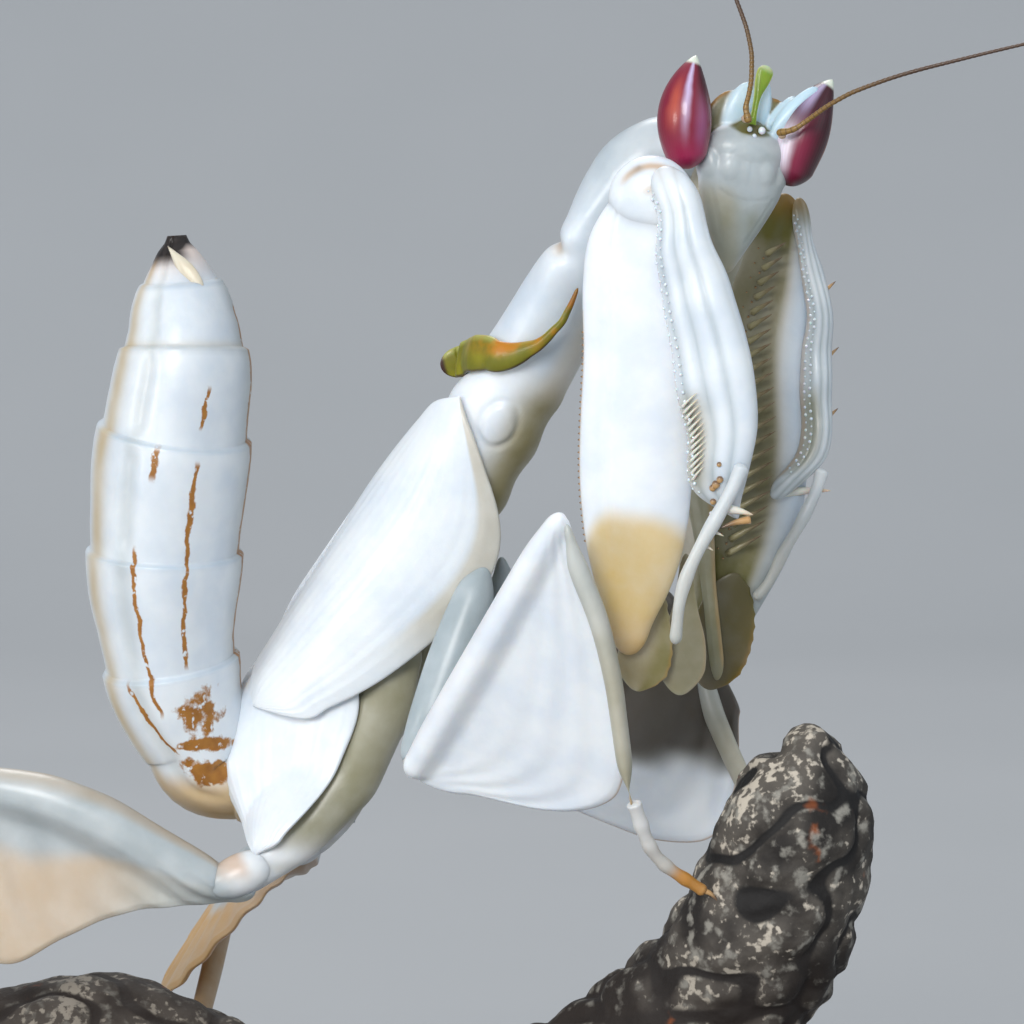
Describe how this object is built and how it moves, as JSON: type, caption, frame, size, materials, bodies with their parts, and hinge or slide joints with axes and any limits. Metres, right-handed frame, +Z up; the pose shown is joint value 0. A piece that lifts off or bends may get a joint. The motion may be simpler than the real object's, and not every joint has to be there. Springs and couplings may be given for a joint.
{
  "type": "orchid mantis model",
  "caption": "Life-size orchid mantis nymph with petal-shaped legs and upturned abdomen, gripping a cut branch that short rods hold over a flat base.",
  "frame": {"origin": "middle of the stand's underside", "axes": "+X the way the mantis's trunk heads, -Y the mantis's right side, +Z up"},
  "size_m": [0.046, 0.028, 0.0532],
  "materials": {
    "porcelain": "waxy white cuticle, a little translucent",
    "beige": "waxy beige to olive cuticle",
    "wine_eye": "glossy crimson and maroon with fine lengthwise stripes",
    "leaf_green": "waxy lime to olive green",
    "russet": "satin orange brown",
    "bark": "rough dark bark with pale flecks",
    "dark_wood": "dark stained, satin lacquer",
    "rod_steel": "satin steel"
  },
  "bodies": {
    "root": {"stand_base": "dark_wood", "stand_rod_1": "rod_steel", "stand_rod_2": "rod_steel", "perch_branch": "bark", "head": "porcelain", "head_horn": "leaf_green", "eye_right": "wine_eye", "eye_left": "wine_eye", "antenna_right": "russet", "antenna_left": "russet", "neck": "porcelain", "pronotum_front": "porcelain", "pronotum_rear": "porcelain", "pronotum_collar": "leaf_green", "mesothorax": "porcelain", "metathorax": "porcelain", "abdomen_1": "porcelain", "abdomen_2": "porcelain", "abdomen_3": "porcelain", "abdomen_4": "porcelain", "abdomen_5": "porcelain", "abdomen_6": "porcelain", "abdomen_7": "russet", "cercus_right": "porcelain", "cercus_left": "porcelain", "forewing_pad_right": "porcelain", "forewing_pad_left": "porcelain", "hindwing_pad_right": "porcelain", "hindwing_pad_left": "porcelain", "fore_right_coxa": "beige", "fore_right_femur": "porcelain", "fore_right_tibia": "porcelain", "fore_right_tarsus": "porcelain", "fore_left_coxa": "beige", "fore_left_femur": "porcelain", "fore_left_tibia": "porcelain", "fore_left_tarsus": "porcelain", "mid_right_coxa": "porcelain", "mid_right_femur": "porcelain", "mid_right_tibia": "porcelain", "mid_right_tarsus": "porcelain", "mid_left_coxa": "porcelain", "mid_left_femur": "porcelain", "mid_left_tibia": "porcelain", "mid_left_tarsus": "porcelain", "hind_right_coxa": "beige", "hind_right_femur": "porcelain", "hind_right_tibia": "porcelain", "hind_right_tarsus": "porcelain", "hind_left_coxa": "beige", "hind_left_femur": "porcelain", "hind_left_tibia": "porcelain", "hind_left_tarsus": "porcelain"}
  },
  "joints": []
}
